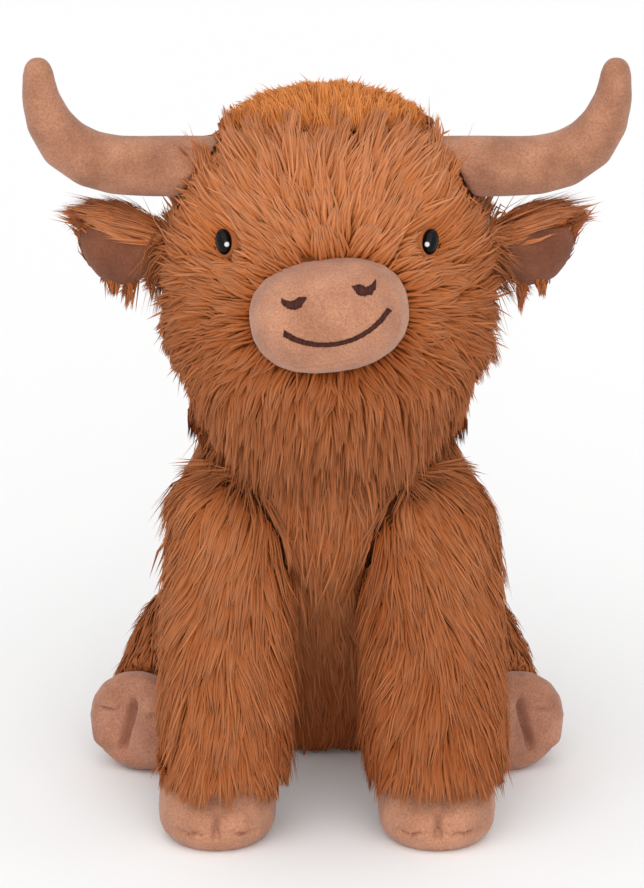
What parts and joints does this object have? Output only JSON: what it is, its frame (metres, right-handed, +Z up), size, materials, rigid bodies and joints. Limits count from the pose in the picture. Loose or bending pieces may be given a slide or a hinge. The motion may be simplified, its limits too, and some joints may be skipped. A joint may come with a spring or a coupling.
{
  "type": "seated plush highland cow",
  "caption": "Seated stuffed cow with a long shaggy coat, curved soft horns, floppy ears, a velour muzzle, glossy eyes and cloven velour hooves.",
  "frame": {"origin": "on the floor below the middle of the bounding box", "axes": "+Z up; -Y is the way the toy faces; +X is the toy's own left"},
  "size_m": [0.296, 0.229, 0.3765],
  "materials": {
    "long_pile_coat": "long shaggy pile",
    "crown_pile": "fluffy pile",
    "tan_velour": "short soft pile",
    "lining_velour": "short soft pile",
    "brown_thread": "satin stitch",
    "black_gloss": "polished",
    "nylon_washer": "moulded",
    "fibre_filling": "loose fibre",
    "bag_cloth": "woven",
    "base_cloth": "woven"
  },
  "bodies": {
    "torso": {"torso": "long_pile_coat", "torso_stuffing": "fibre_filling", "pellet_bag": "bag_cloth", "seat_panel": "base_cloth"},
    "head": {"head": "long_pile_coat", "head_stuffing": "fibre_filling", "crown_tuft": "crown_pile", "muzzle": "tan_velour", "muzzle_stuffing": "fibre_filling", "mouth": "brown_thread", "nostril_left": "brown_thread", "nostril_right": "brown_thread", "eye_left": "black_gloss", "eye_right": "black_gloss", "eye_washer_left": "nylon_washer", "eye_washer_right": "nylon_washer", "horn_left": "tan_velour", "horn_right": "tan_velour", "horn_stuffing_left": "fibre_filling", "horn_stuffing_right": "fibre_filling"},
    "ear_left": {"ear_left": "long_pile_coat", "ear_lining_left": "lining_velour"},
    "front_leg_left": {"front_leg_left": "long_pile_coat", "front_leg_stuffing_left": "fibre_filling", "front_hoof_left": "tan_velour"},
    "hind_leg_left": {"hind_leg_left": "long_pile_coat", "hind_leg_stuffing_left": "fibre_filling", "hind_hoof_left": "tan_velour"},
    "ear_right": {"ear_right": "long_pile_coat", "ear_lining_right": "lining_velour"},
    "front_leg_right": {"front_leg_right": "long_pile_coat", "front_leg_stuffing_right": "fibre_filling", "front_hoof_right": "tan_velour"},
    "hind_leg_right": {"hind_leg_right": "long_pile_coat", "hind_leg_stuffing_right": "fibre_filling", "hind_hoof_right": "tan_velour"},
    "tail": {"tail": "long_pile_coat", "tail_tuft": "crown_pile"}
  },
  "joints": [
    {"name": "head_nod", "type": "hinge", "parent": "torso", "child": "head", "pos_m": [0, 0.005, 0.178], "axis": [1, 0, 0], "range_deg": [-12, 12], "stiffness_Nm_per_rad": 4},
    {"name": "ear_left_flop", "type": "hinge", "parent": "head", "child": "ear_left", "pos_m": [0.07488, -0.004, 0.277], "axis": [0, 1, 0], "range_deg": [-6, 25], "stiffness_Nm_per_rad": 0.1},
    {"name": "front_leg_left_swing", "type": "hinge", "parent": "torso", "child": "front_leg_left", "pos_m": [0.05, -0.03, 0.136], "axis": [-1, 0, 0], "range_deg": [0, 35], "stiffness_Nm_per_rad": 4},
    {"name": "hind_leg_left_lift", "type": "hinge", "parent": "torso", "child": "hind_leg_left", "pos_m": [0.07, 0.052, 0.0405], "axis": [-1, 0, 0], "range_deg": [0, 30], "stiffness_Nm_per_rad": 5},
    {"name": "ear_right_flop", "type": "hinge", "parent": "head", "child": "ear_right", "pos_m": [-0.07488, -0.004, 0.277], "axis": [0, -1, 0], "range_deg": [-6, 25], "stiffness_Nm_per_rad": 0.1},
    {"name": "front_leg_right_swing", "type": "hinge", "parent": "torso", "child": "front_leg_right", "pos_m": [-0.05, -0.03, 0.136], "axis": [-1, 0, 0], "range_deg": [0, 35], "stiffness_Nm_per_rad": 4},
    {"name": "hind_leg_right_lift", "type": "hinge", "parent": "torso", "child": "hind_leg_right", "pos_m": [-0.07, 0.052, 0.0405], "axis": [-1, 0, 0], "range_deg": [0, 30], "stiffness_Nm_per_rad": 5},
    {"name": "tail_swing", "type": "hinge", "parent": "torso", "child": "tail", "pos_m": [0, 0.09592, 0.072], "axis": [0, 1, 0], "range_deg": [-30, 30], "stiffness_Nm_per_rad": 0.1}
  ]
}
